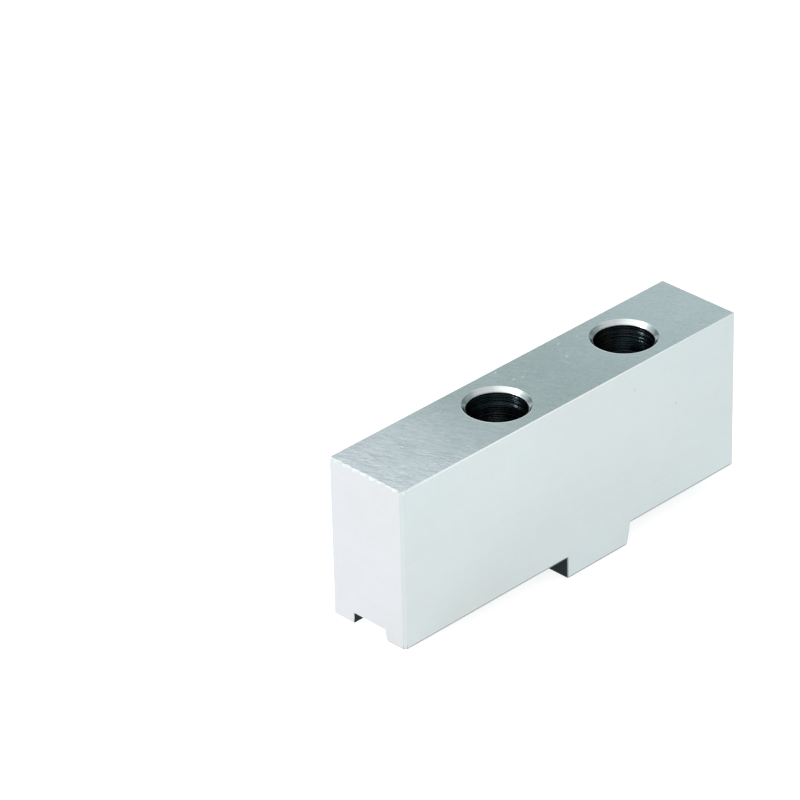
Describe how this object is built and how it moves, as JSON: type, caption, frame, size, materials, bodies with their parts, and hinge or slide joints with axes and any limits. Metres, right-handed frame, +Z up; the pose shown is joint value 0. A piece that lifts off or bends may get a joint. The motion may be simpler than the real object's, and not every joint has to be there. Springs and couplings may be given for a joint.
{
  "type": "hard chuck jaw",
  "caption": "Rectangular hard top jaw for a lathe chuck, with counterbored screw holes from the top, a cross key and a lengthwise groove underneath.",
  "frame": {"origin": "middle of the bounding box, at the bottom face of the cross key, which the jaw stands on", "axes": "+X along the jaw towards the end nearer to a screw hole, +Y across it, +Z up from the seat to the face that the screw heads enter"},
  "size_m": [0.099, 0.0206, 0.0425],
  "materials": {
    "ground_steel": "hardened steel, ground on all faces, turned counterbores"
  },
  "bodies": {
    "root": {"jaw_body": "ground_steel"}
  },
  "joints": []
}
